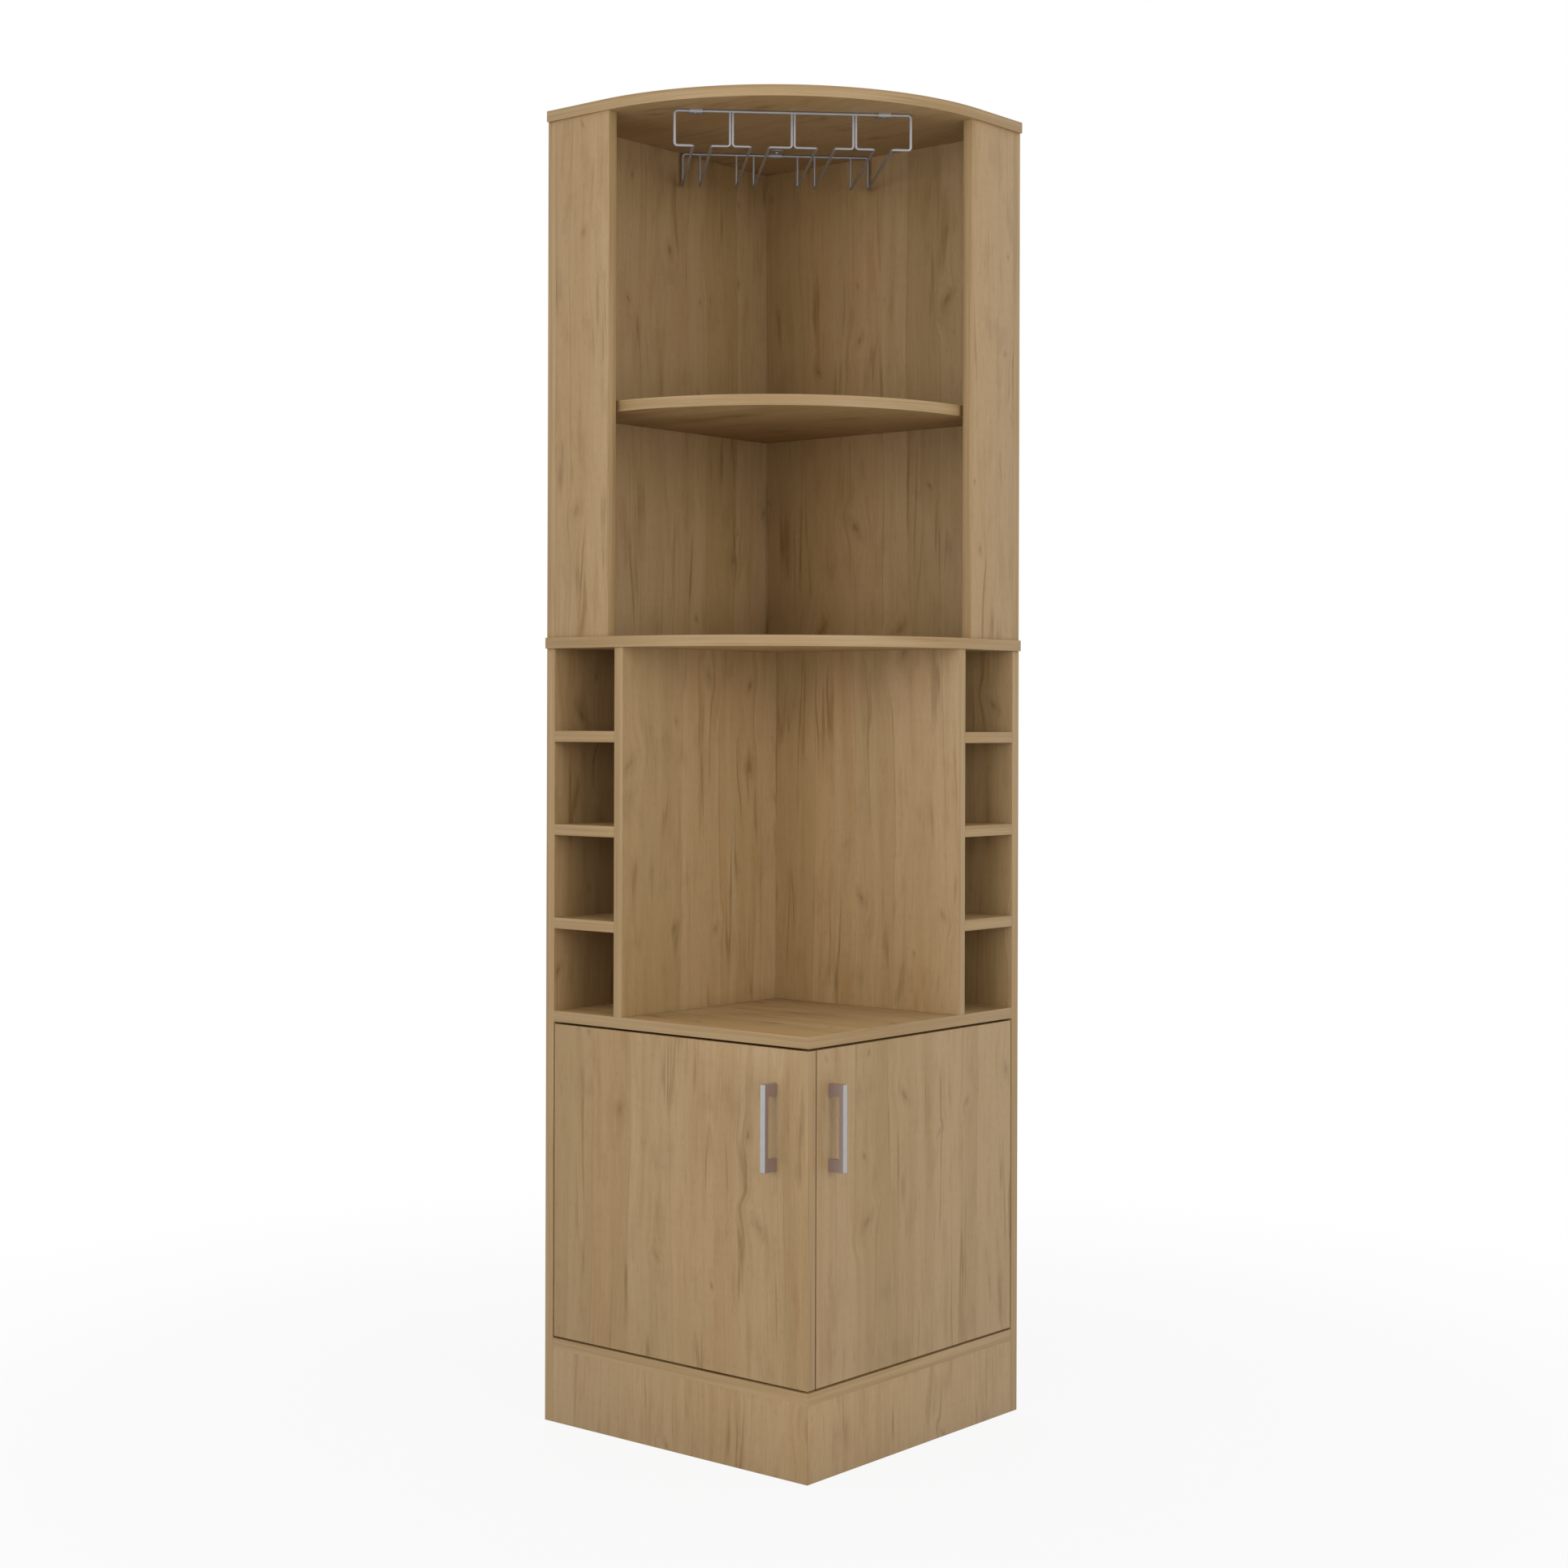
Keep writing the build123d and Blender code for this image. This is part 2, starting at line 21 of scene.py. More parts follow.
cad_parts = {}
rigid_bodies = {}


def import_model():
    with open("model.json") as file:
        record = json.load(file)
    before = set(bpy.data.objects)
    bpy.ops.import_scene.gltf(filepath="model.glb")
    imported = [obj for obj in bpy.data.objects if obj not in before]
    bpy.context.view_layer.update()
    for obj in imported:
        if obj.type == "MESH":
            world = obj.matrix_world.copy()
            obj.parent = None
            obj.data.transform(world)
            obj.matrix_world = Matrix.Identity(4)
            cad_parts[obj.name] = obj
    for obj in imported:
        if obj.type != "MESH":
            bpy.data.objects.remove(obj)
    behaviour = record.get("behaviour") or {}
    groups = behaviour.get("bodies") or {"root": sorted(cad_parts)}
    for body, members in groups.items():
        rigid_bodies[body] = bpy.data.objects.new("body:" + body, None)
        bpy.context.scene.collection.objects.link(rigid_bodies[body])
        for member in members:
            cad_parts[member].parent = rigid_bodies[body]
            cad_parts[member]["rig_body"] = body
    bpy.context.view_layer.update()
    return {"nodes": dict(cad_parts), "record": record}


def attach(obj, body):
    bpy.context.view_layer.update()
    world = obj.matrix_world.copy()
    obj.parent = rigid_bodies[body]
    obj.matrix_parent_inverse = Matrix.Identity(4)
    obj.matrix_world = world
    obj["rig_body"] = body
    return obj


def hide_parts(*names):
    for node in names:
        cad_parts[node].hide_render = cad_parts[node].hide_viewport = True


LOG = logging.getLogger("cabinet")

MERGE_DISTANCE = 0.00002
FLAT_ANGLE = math.radians(1)
SHARP_ANGLE = math.radians(45)
SMOOTH_ANGLE = math.radians(35)

Colour = tuple[float, float, float]
CoordinateTriple = tuple[float, float, float]
Pair = tuple[float, float]


def tint(red: int, green: int, blue: int) -> Colour:
    """Turn a colour as it is seen on a screen into the linear one that shaders use.

    Args:
        red: Red, from 0 to 255.
        green: Green, from 0 to 255.
        blue: Blue, from 0 to 255.

    Returns:
        The linear colour, each part from 0 to 1.
    """

    def linear(part: int) -> float:
        """Turn one part of the colour, by the curve that screens use."""
        share = part / 255
        return share / 12.92 if share <= 0.04045 else ((share + 0.055) / 1.055) ** 2.4

    return linear(red), linear(green), linear(blue)


@dataclass(frozen=True)
class Signal:
    """One output socket; Python's operators on it add Math nodes."""

    sheet: NodeSheet
    socket: bpy.types.NodeSocket | None

    def __add__(self, other: Signal | float) -> Signal:
        """Add a signal or a number."""
        return self.sheet.math("ADD", self, other)

    def __radd__(self, other: float) -> Signal:
        """Add this signal to a number."""
        return self.sheet.math("ADD", other, self)

    def __sub__(self, other: Signal | float) -> Signal:
        """Take away a signal or a number."""
        return self.sheet.math("SUBTRACT", self, other)

    def __rsub__(self, other: float) -> Signal:
        """Take this signal away from a number."""
        return self.sheet.math("SUBTRACT", other, self)

    def __mul__(self, other: Signal | float) -> Signal:
        """Multiply by a signal or a number."""
        return self.sheet.math("MULTIPLY", self, other)

    def __rmul__(self, other: float) -> Signal:
        """Multiply a number by this signal."""
        return self.sheet.math("MULTIPLY", other, self)

    def __truediv__(self, other: Signal | float) -> Signal:
        """Divide by a signal or a number."""
        return self.sheet.math("DIVIDE", self, other)

    def __abs__(self) -> Signal:
        """Drop the sign."""
        return self.sheet.math("ABSOLUTE", self)

    def beside(self, output: str | int) -> Signal:
        """Another output of the same node."""
        return Signal(self.sheet, self.socket.node.outputs[output])


class Rise(Enum):
    """How a value climbs from 0 to 1 over a span."""

    SOFT = "SMOOTHSTEP"
    STRAIGHT = "LINEAR"


class NodeSheet:
    """A node tree that is filled by method calls."""

    def __init__(self, tree: bpy.types.NodeTree) -> None:
        """Start on an emptied tree.

        Args:
            tree: The node tree to fill.
        """
        tree.nodes.clear()
        self.tree = tree

    def add(
        self,
        kind: str,
        settings: dict[str, Any] | None = None,
        inputs: dict[str | int, Any] | None = None,
        output: str | int = 0,
    ) -> Signal:
        """Add one node.

        Args:
            kind: The node's type, such as "ShaderNodeTexNoise".
            settings: Its properties, which are set first.
            inputs: Values or signals for its input sockets, by name or number.
            output: The output socket to return.

        Returns:
            The signal of that output.
        """
        node = self.tree.nodes.new(kind)
        for name, value in (settings or {}).items():
            setattr(node, name, value)
        for name, value in (inputs or {}).items():
            socket = node.inputs[name]
            if isinstance(value, Signal):
                self.tree.links.new(value.socket, socket)
            elif socket.type == "RGBA":
                socket.default_value = (*value, 1.0)
            else:
                socket.default_value = value
        return Signal(self, node.outputs[output] if node.outputs else None)

    def math(self, operation: str, *values: Signal | float) -> Signal:
        """Add a Math node on signals or numbers."""
        return self.add("ShaderNodeMath", {"operation": operation}, dict(enumerate(values)))

    def combine(self, *parts: Signal | float) -> Signal:
        """Make a vector from up to three signals or numbers; a missing one is 0."""
        return self.add("ShaderNodeCombineXYZ", inputs=dict(enumerate(parts)))

    def split(self, vector: Signal) -> tuple[Signal, Signal, Signal]:
        """Take a vector apart into its three numbers."""
        first = self.add("ShaderNodeSeparateXYZ", inputs={0: vector})
        return first, first.beside(1), first.beside(2)

    def coordinates(self, output: str) -> Signal:
        """The place on the object, as "Object", or the direction of the surface, as "Normal"."""
        return self.add("ShaderNodeTexCoord", output=output)

    def blend(self, factor: Signal | float, first: Any, second: Any, how: str = "MIX") -> Signal:
        """Mix two colours."""
        settings = {"data_type": "RGBA", "blend_type": how, "clamp_factor": True}
        return self.add("ShaderNodeMix", settings, {0: factor, 6: first, 7: second}, output=2)

    def between(self, value: Signal, span: Pair, rise: Rise = Rise.SOFT) -> Signal:
        """Rise from 0 to 1 while a value goes through a span.

        Args:
            value: The value.
            span: Its low end, where the rise starts, and its high end.
            rise: Whether the rise is soft at both ends or straight.

        Returns:
            The rising signal.
        """
        settings = {"interpolation_type": rise.value}
        inputs = {"Value": value, "From Min": span[0], "From Max": span[1]}
        return self.add("ShaderNodeMapRange", settings, inputs)

    def noise(
        self,
        place: Signal,
        scale: float = 1.0,
        detail: float = 2.0,
        rough: float = 0.5,
        twist: float = 0.0,
    ) -> Signal:
        """Noise between 0 and 1.

        Args:
            place: The place in the noise.
            scale: Waves to each unit of the place.
            detail: How many times finer waves are laid over the first ones.
            rough: How strong each finer set is beside the one before.
            twist: How far the noise is pushed out of place by itself.

        Returns:
            The noise at that place.
        """
        inputs = {
            "Vector": place,
            "Scale": scale,
            "Detail": detail,
            "Roughness": rough,
            "Distortion": twist,
        }
        return self.add("ShaderNodeTexNoise", {"noise_dimensions": "3D"}, inputs)

    def cells(
        self, place: Signal, dimensions: str, feature: str, scatter: float, output: str | int = 0
    ) -> Signal:
        """Read scattered cells, such as staves along a line or the grounds of knots.

        Args:
            place: The place among the cells.
            dimensions: "1D" for cells on a line, "2D" for cells in a plane.
            feature: "F1" for the nearest cell, "DISTANCE_TO_EDGE" for the way to its border.
            scatter: How irregular the cells are, from 0 to 1.
            output: The output socket to return.

        Returns:
            The signal of that output.
        """
        settings = {"voronoi_dimensions": dimensions, "feature": feature}
        inputs = {"W" if dimensions == "1D" else "Vector": place, "Scale": 1.0}
        inputs["Randomness"] = scatter
        return self.add("ShaderNodeTexVoronoi", settings, inputs, output)


def new_material(name: str) -> tuple[bpy.types.Material, NodeSheet]:
    """Make an empty node material.

    Args:
        name: The material's name.

    Returns:
        The material and the sheet for its nodes.
    """
    material = bpy.data.materials.new(name)
    material.use_nodes = True
    return material, NodeSheet(material.node_tree)


@dataclass(frozen=True)
class Layer:
    """One noise of the print, drawn out along the grain, and how it shows.

    Its waves to the metre, across and along the grain, come first. The depth keeps it apart from
    other layers. It starts to show at the span's low end, and is at full strength at the high one.
    """

    across: float
    along: float
    depth: float = 0.0
    detail: float = 2.0
    rough: float = 0.5
    twist: float = 0.0
    span: Pair = (0.0, 1.0)
    strength: float = 1.0

    def shown(self, noise: Signal) -> Signal:
        """How much of the layer shows where its noise has this value."""
        return noise.sheet.between(noise, self.span) * self.strength


@dataclass(frozen=True)
class PrintPlace:
    """A place in the endless print: its distances across the grain and along it, in metres."""

    sheet: NodeSheet
    across: Signal
    along: Signal

    def noise(self, layer: Layer, depth: Signal | None = None) -> Signal:
        """Read a layer's noise.

        Args:
            layer: The layer.
            depth: The depth to read it at, where that varies.

        Returns:
            The noise here, between 0 and 1.
        """
        spot = self.sheet.combine(
            self.across * layer.across,
            self.along * layer.along,
            layer.depth if depth is None else depth,
        )
        return self.sheet.noise(spot, 1.0, layer.detail, layer.rough, layer.twist)

    def shown(self, layer: Layer) -> Signal:
        """How much of a layer shows here, from 0 to its strength."""
        return layer.shown(self.noise(layer))

    def swing(self, layer: Layer) -> Signal:
        """How far a layer pushes things aside here, either way."""
        return (self.noise(layer) - 0.5) * layer.strength


class Grain(Enum):
    """Which way the printed grain of a board runs on its wide faces."""

    STANDING = "up the board"
    LYING = "along the right wall"


@dataclass(frozen=True)
class Blot:
    """A ragged dark spot round a knot's middle."""

    falloff: float
    base: float
    raggedness: float
    span: Pair
    strength: float
    rise: Rise = Rise.SOFT

    def shown(self, reach: Signal, ragged: Signal) -> Signal:
        """Tell how dark the spot is.

        Args:
            reach: How far out the place is, squared: 0 in the knot's middle, 1 at its rim.
            ragged: The noise that breaks up the spot.

        Returns:
            The darkness, from 0 to the spot's strength.
        """
        sheet = reach.sheet
        fading = sheet.math("EXPONENT", reach * -self.falloff)
        spot = fading * (self.base + ragged * self.raggedness)
        return sheet.between(spot, self.span, self.rise) * self.strength


@dataclass(frozen=True)
class Knots:
    """Smudged knots that bend the grain, at most one in each cell of the print.

    A knot's bulk is the square of its half width; bulk times stretch is that of its half length.
    Cells whose chance is under the first of the bare_cells have none.
    """

    cells_across: float = 13.0
    cells_along: float = 6.4
    scatter: float = 0.85
    bare_cells: Pair = (0.50, 0.52)
    border_fade: Pair = (0.0, 0.16)
    tilt: float = 1.3
    least_bulk: float = 0.000014
    bulk_spread: float = 0.00016
    stretch: float = 3.0
    bend: float = 0.7
    bend_falloff: float = 0.22
    rim: Layer = Layer(95.0, 34.0, detail=4.0, rough=0.6, twist=0.4)
    rim_variety: float = 9.0
    smudge: Blot = Blot(1.0, 0.35, 1.3, span=(0.15, 1.05), strength=0.27, rise=Rise.STRAIGHT)
    heart: Blot = Blot(5.0, -0.1, 2.0, span=(0.25, 1.0), strength=0.26)

    def draw(self, place: PrintPlace) -> tuple[Signal, PrintPlace]:
        """Place the knots and bend the grain lines round them.

        Args:
            place: The place in the print.

        Returns:
            How much of a knot shows, from 0 to 1, and the place in the bent grain.
        """
        sheet = place.sheet
        ground = sheet.combine(place.across * self.cells_across, place.along * self.cells_along)
        cell = sheet.cells(ground, "2D", "F1", self.scatter)
        border = sheet.cells(ground, "2D", "DISTANCE_TO_EDGE", self.scatter)
        chance, size, lean = sheet.split(cell.beside("Color"))
        centre_across, centre_along, _ = sheet.split(cell.beside("Position"))
        off_across = place.across - centre_across / self.cells_across
        off_along = place.along - centre_along / self.cells_along
        chosen = sheet.between(chance, self.bare_cells, Rise.STRAIGHT)
        present = chosen * sheet.between(border, self.border_fade)
        tilted = off_across + off_along * (lean - 0.5) * self.tilt
        bulk = self.least_bulk + size * size * self.bulk_spread
        reach = tilted * tilted / bulk + off_along * off_along / (bulk * self.stretch)
        halo = sheet.math("EXPONENT", reach * -self.bend_falloff)
        bent = place.across - off_across * halo * present * self.bend
        ragged = place.noise(self.rim, chance * self.rim_variety)
        dark = self.smudge.shown(reach, ragged) + self.heart.shown(reach, ragged)
        return dark * present, replace(place, across=bent)


@dataclass(frozen=True)
class BoardFinish:
    """What the print and the banding share: a half-matt surface with a faint relief."""

    roughness: float = 0.5
    roughness_swing: float = 0.15
    gloss: float = 0.5
    relief: float = 0.3
    relief_depth: float = 0.00003

    def coat(self, sheet: NodeSheet, colour: Signal, grain: Signal, height: Signal) -> None:
        """Add the surface's shader.

        Args:
            sheet: The node sheet.
            colour: The surface's colour.
            grain: Noise between 0 and 1; the surface is rougher where it is high.
            height: The relief's height.
        """
        bumps = sheet.add(
            "ShaderNodeBump",
            inputs={"Strength": self.relief, "Distance": self.relief_depth, "Height": height},
        )
        shader = sheet.add(
            "ShaderNodeBsdfPrincipled",
            inputs={
                "Base Color": colour,
                "Roughness": self.roughness + (grain - 0.5) * self.roughness_swing,
                "Normal": bumps,
                "Specular IOR Level": self.gloss,
            },
        )
        sheet.add("ShaderNodeOutputMaterial", inputs={"Surface": shader})


@dataclass(frozen=True)
class OakPrint(BoardFinish):
    """Melamine board with an oak print: staves of two hues, dark streaks and smudged knots."""

    straw: Colour = tint(171, 142, 102)
    olive: Colour = tint(158, 130, 87)
    blush: Colour = tint(164, 131, 88)
    streak: Colour = tint(107, 76, 18)
    knot: Colour = tint(99, 67, 10)
    amber: Colour = tint(142, 102, 52)
    flat_face: Pair = (0.5, 0.6)
    slow_wander: Layer = Layer(6.0, 2.2, 3.1, detail=1.0, strength=0.030)
    fast_wander: Layer = Layer(40.0, 9.0, 8.4, strength=0.005)
    knots: Knots = Knots()
    stave_width: float = 0.070
    bands: Layer = Layer(1 / 0.019, 1 / 0.7)
    band_variety: float = 7.0
    hues: Layer = Layer(0.6 / 0.019, 1 / 0.7, 5.0, detail=1.0)
    band_share: float = 0.6
    blushing: Pair = (0.36, 0.64)
    paling: Pair = (0.32, 0.68)
    fine_lines: Layer = Layer(230.0, 3.6, 2.0, 3.0, 0.6, span=(0.46, 0.80), strength=0.18)
    fibres: Layer = Layer(1100.0, 17.0, 5.0, 2.0, 0.6, span=(0.50, 0.75), strength=0.10)
    seam_edge: Pair = (0.004, 0.016)
    seams: Layer = Layer(20.0, 3.5, 8.0, detail=1.0, span=(0.45, 0.60), strength=0.30)
    clouds: Layer = Layer(34.0, 12.0, 7.0, 3.0, 0.55, span=(0.52, 0.78), strength=0.22)
    patches: Layer = Layer(52.0, 6.5, 11.0, 3.0, 0.6, span=(0.50, 0.70), strength=0.26)
    streaks: Layer = Layer(38.0, 1.7, 1.0, rough=0.45)
    streak_patches: Layer = Layer(24.0, 5.0, 6.0, span=(0.50, 0.66))
    streak_core: Pair = (0.93, 0.985)
    streak_fringe: Pair = (0.78, 0.97)
    fringe_strength: float = 0.06
    least_streak: float = 0.12
    streak_breaks: Layer = Layer(160.0, 30.0, 3.0, strength=0.62)
    flecks: Layer = Layer(260.0, 42.0, 9.0, detail=1.0, span=(0.70, 0.84), strength=0.24)
    pores: Layer = Layer(800.0, 16.0, 4.0, 3.0, 0.6)
    pore_contrast: float = 0.6
    pore_strength: float = 0.28
    pits: Layer = Layer(1500.0, 70.0, 12.0, span=(0.58, 0.68))
    pit_strength: float = 0.26
    pit_depth: float = 0.5

    def material(
        self, name: str, grain: Grain, shift: Pair, paler: float = 0.0
    ) -> bpy.types.Material:
        """Make the material of one board.

        Args:
            name: The material's name.
            grain: Which way the grain runs.
            shift: Where in the print this board was cut, across the grain and along it.
            paler: How far this board's staves lean to the pale colour.

        Returns:
            The material.
        """
        material, sheet = new_material(name)
        place = self._print_place(sheet, grain, shift)
        wandering = place.across + place.swing(self.slow_wander) + place.swing(self.fast_wander)
        knots, place = self.knots.draw(replace(place, across=wandering))
        colour = self._staves(place, paler)
        colour = sheet.blend(place.shown(self.clouds), colour, self.knot)
        colour = sheet.blend(place.shown(self.patches), colour, self.amber)
        colour = sheet.blend(self._streaks(place), colour, self.streak)
        colour = sheet.blend(knots, colour, self.knot)
        pores = place.noise(self.pores)
        shade = 0.5 + (pores - 0.5) * self.pore_contrast
        grey = sheet.combine(shade, shade, shade)
        colour = sheet.blend(self.pore_strength, colour, grey, "OVERLAY")
        pits = place.shown(self.pits)
        colour = sheet.blend(pits * self.pit_strength, colour, self.streak)
        self.coat(sheet, colour, pores, pores - pits * self.pit_depth)
        return material

    def _print_place(self, sheet: NodeSheet, grain: Grain, shift: Pair) -> PrintPlace:
        """Find the place in the print of a point on the board.

        Args:
            sheet: The node sheet.
            grain: Which way the grain runs.
            shift: Where in the print this board was cut.

        Returns:
            The place.
        """
        x, y, z = sheet.split(sheet.coordinates("Object"))
        if grain is Grain.STANDING:
            return PrintPlace(sheet, x + y + shift[0], z + shift[1])
        _, _, up = sheet.split(sheet.coordinates("Normal"))
        flat = sheet.between(abs(up), self.flat_face, Rise.STRAIGHT)
        across = y * flat + z * (1.0 - flat)
        along = x * flat + (x + y) * (1.0 - flat)
        return PrintPlace(sheet, across + shift[0], along + shift[1])

    def _staves(self, place: PrintPlace, paler: float) -> Signal:
        """Colour the staves of the print and the soft bands inside them.

        Args:
            place: The place in the print.
            paler: How far the staves lean to the pale colour.

        Returns:
            The colour.
        """
        sheet = place.sheet
        row = place.across / self.stave_width
        stave = sheet.cells(row, "1D", "F1", 1.0, "Color")
        border = sheet.cells(row, "1D", "DISTANCE_TO_EDGE", 1.0)
        warmth, lightness, number = sheet.split(stave)
        bands = place.noise(self.bands, number * self.band_variety)
        warmth = self._within_stave(place.noise(self.hues), warmth)
        lightness = self._within_stave(bands, lightness)
        colour = sheet.blend(sheet.between(warmth, self.blushing), self.olive, self.blush)
        low, high = self.paling
        pale = sheet.between(lightness, (low - paler, high - paler))
        colour = sheet.blend(pale, colour, self.straw)
        lines = place.shown(self.fine_lines) + place.shown(self.fibres)
        seams = (1.0 - sheet.between(border, self.seam_edge)) * place.shown(self.seams)
        return sheet.blend(lines + seams, colour, self.streak)

    def _within_stave(self, band: Signal, stave: Signal) -> Signal:
        """Mix the value of a band with that of its stave."""
        return band * self.band_share + stave * (1.0 - self.band_share)

    def _streaks(self, place: PrintPlace) -> Signal:
        """Draw long thin dark streaks with a soft fringe, and short flecks.

        Args:
            place: The place in the print.

        Returns:
            How dark they are, from 0 to 1.
        """
        ridge = 1.0 - abs(place.noise(self.streaks) - 0.5) * 2.0
        breaks = self.least_streak + place.noise(self.streak_breaks) * self.streak_breaks.strength
        core = place.sheet.between(ridge, self.streak_core) * breaks
        fringe = place.sheet.between(ridge, self.streak_fringe) * self.fringe_strength
        return (core + fringe) * place.shown(self.streak_patches) + place.shown(self.flecks)


@dataclass(frozen=True)
class EdgeBand(BoardFinish):
    """Thin banding on the boards' edges: a paler print whose lines run along the strip."""

    roughness_swing: float = 0.12
    relief_depth: float = 0.00002
    pale: Colour = tint(169, 141, 100)
    deep: Colour = tint(157, 127, 85)
    line: Colour = tint(127, 96, 48)
    broad: Layer = Layer(120.0, 1.8, 0.0, span=(0.36, 0.64))
    lines: Layer = Layer(520.0, 6.0, 3.0, 3.0, 0.6, span=(0.48, 0.70), strength=0.40)
    patches: Layer = Layer(30.0, 7.0, 6.0, span=(0.25, 0.6))

    def material(self, name: str, grain: Grain, shift: Pair) -> bpy.types.Material:
        """Make the banding of one board.

        Args:
            name: The material's name.
            grain: Whether the strip runs up the board or round its rim.
            shift: Where in the print this strip was cut, across the grain and along it.

        Returns:
            The material.
        """
        material, sheet = new_material(name)
        x, y, z = sheet.split(sheet.coordinates("Object"))
        across, along = (x + y, z) if grain is Grain.STANDING else (z, x + y)
        place = PrintPlace(sheet, across + shift[0], along + shift[1])
        lines = place.noise(self.lines)
        colour = sheet.blend(place.shown(self.broad), self.pale, self.deep)
        shown = self.lines.shown(lines) * place.shown(self.patches)
        colour = sheet.blend(shown, colour, self.line)
        self.coat(sheet, colour, lines, lines)
        return material


@dataclass(frozen=True)
class SatinMetal:
    """Metal with a soft satin finish and faint brushing; its sides may carry a painted reflection,
    a warm colour that stands in for the wood they mirror.
    """

    colour: Colour
    # painted_reflection: a warm colour painted on the sides, standing in for the reflected wood.
    painted_reflection: Colour | None = None
    front_face: Pair = (0.5, 0.8)
    roughness: float = 0.34
    metallic: float = 1.0
    brushing: float = 0.05
    brush_scale: CoordinateTriple = (40.0, 40.0, 900.0)
    cloud_scale: float = 60.0
    cloud_span: Pair = (0.35, 0.7)
    cloud_strength: float = 0.5
    cloud_shade: float = 0.90

    def material(self, name: str, facing: int = 0) -> bpy.types.Material:
        """Make the metal's material.

        Args:
            name: The material's name.
            facing: The axis that the front looks along; the other sides get the painted reflection
                colour.

        Returns:
            The material.
        """
        material, sheet = new_material(name)
        place = sheet.coordinates("Object")
        parts = sheet.split(place)
        brushed = sheet.combine(*(part * scale for part, scale in zip(parts, self.brush_scale)))
        clouds = sheet.between(sheet.noise(place, self.cloud_scale), self.cloud_span)
        darker = tuple(part * self.cloud_shade for part in self.colour)
        shade = sheet.blend(clouds * self.cloud_strength, self.colour, darker)
        # Painted reflection: faces turned away from the front take a warm colour that stands in for
        # the wood they mirror.
        if self.painted_reflection:
            normal = sheet.split(sheet.coordinates("Normal"))
            front = sheet.between(abs(normal[facing]), self.front_face)
            shade = sheet.blend(front, self.painted_reflection, shade)
        swing = (sheet.noise(brushed) - 0.5) * (self.brushing * 2.0)
        shader = sheet.add(
            "ShaderNodeBsdfPrincipled",
            inputs={
                "Base Color": shade,
                "Metallic": self.metallic,
                "Roughness": self.roughness + swing,
            },
        )
        sheet.add("ShaderNodeOutputMaterial", inputs={"Surface": shader})
        return material


# The handles' pinkish-brown side colour is a painted reflection of the wooden doors around them.
HANDLE_FINISH = SatinMetal(
    colour=(0.43, 0.425, 0.42), painted_reflection=(0.455, 0.385, 0.395), roughness=0.36, metallic=0.9
)
RACK_FINISH = SatinMetal(colour=(0.35, 0.34, 0.345), roughness=0.48, metallic=0.6)
HINGE_FINISH = SatinMetal(colour=(0.62, 0.62, 0.62), roughness=0.25)
SCREW_FINISH = SatinMetal(colour=(0.55, 0.55, 0.56), roughness=0.35)
DOWEL_FINISH = OakPrint(
    straw=tint(205, 175, 135),
    olive=tint(198, 166, 124),
    blush=tint(200, 165, 125),
    streak=tint(175, 141, 101),
    knot=tint(180, 146, 106),
    amber=tint(186, 152, 108),
)


@contextmanager
def editing(piece: bpy.types.Object) -> Iterator[bmesh.types.BMesh]:
    """Work on one piece in edit mode, with nothing of it selected at the start.

    Args:
        piece: The piece to work on.

    Yields:
        The edit mesh.
    """
    pick(piece)
    bpy.ops.object.mode_set(mode="EDIT")
    bpy.ops.mesh.select_mode(type="EDGE")
    bpy.ops.mesh.select_all(action="DESELECT")
    yield bmesh.from_edit_mesh(piece.data)
    bpy.ops.object.mode_set(mode="OBJECT")


def pick(*pieces: bpy.types.Object) -> None:
    """Select these pieces and no others, and make the first one active.

    Args:
        pieces: The pieces.
    """
    bpy.ops.object.select_all(action="DESELECT")
    for piece in pieces:
        piece.select_set(True)
    bpy.context.view_layer.objects.active = pieces[0]


def copy_of(node: bpy.types.Object, name: str) -> bpy.types.Object:
    """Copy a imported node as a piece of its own, with its triangles merged into faces.

    Args:
        node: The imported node.
        name: The copy's name.

    Returns:
        The copy.
    """
    piece = bpy.data.objects.new(name, node.data.copy())
    bpy.context.scene.collection.objects.link(piece)
    with editing(piece):
        bpy.ops.mesh.select_all(action="SELECT")
        bpy.ops.mesh.remove_doubles(threshold=MERGE_DISTANCE)
        bpy.ops.mesh.dissolve_limited(angle_limit=FLAT_ANGLE)
    bpy.ops.mesh.customdata_custom_splitnormals_clear()
    return piece


def ease(piece: bpy.types.Object, width: float, shortest: float, segments: int = 2) -> None:
    """Round the sharp outer edges of a piece.

    Args:
        piece: The piece.
        width: How far the rounding reaches from each edge.
        shortest: Edges up to this length, such as the rims of drilled holes, stay sharp.
        segments: Faces across the rounding.
    """
    with editing(piece) as mesh:
        for edge in mesh.edges:
            sharp = edge.is_manifold and edge.calc_face_angle() > SHARP_ANGLE
            edge.select = sharp and edge.calc_length() > shortest
        mesh.select_flush_mode()
        bpy.ops.mesh.bevel(offset=width, segments=segments, affect="EDGES")
    bpy.ops.object.shade_smooth_by_angle(angle=SMOOTH_ANGLE)


def stand_in(piece: bpy.types.Object, node: bpy.types.Object) -> None:
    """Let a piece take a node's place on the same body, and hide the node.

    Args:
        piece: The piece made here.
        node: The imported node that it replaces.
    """
    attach(piece, node["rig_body"])
    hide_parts(node.name)
    LOG.info("%s: %d faces, replaces %s", piece.name, len(piece.data.polygons), node.name)


def wear(piece: bpy.types.Object, *materials: bpy.types.Material) -> None:
    """Give a piece these materials and no others.

    Args:
        piece: The piece.
        materials: Its materials, the first one for its faces unless they say otherwise.
    """
    piece.data.materials.clear()
    for material in materials:
        piece.data.materials.append(material)


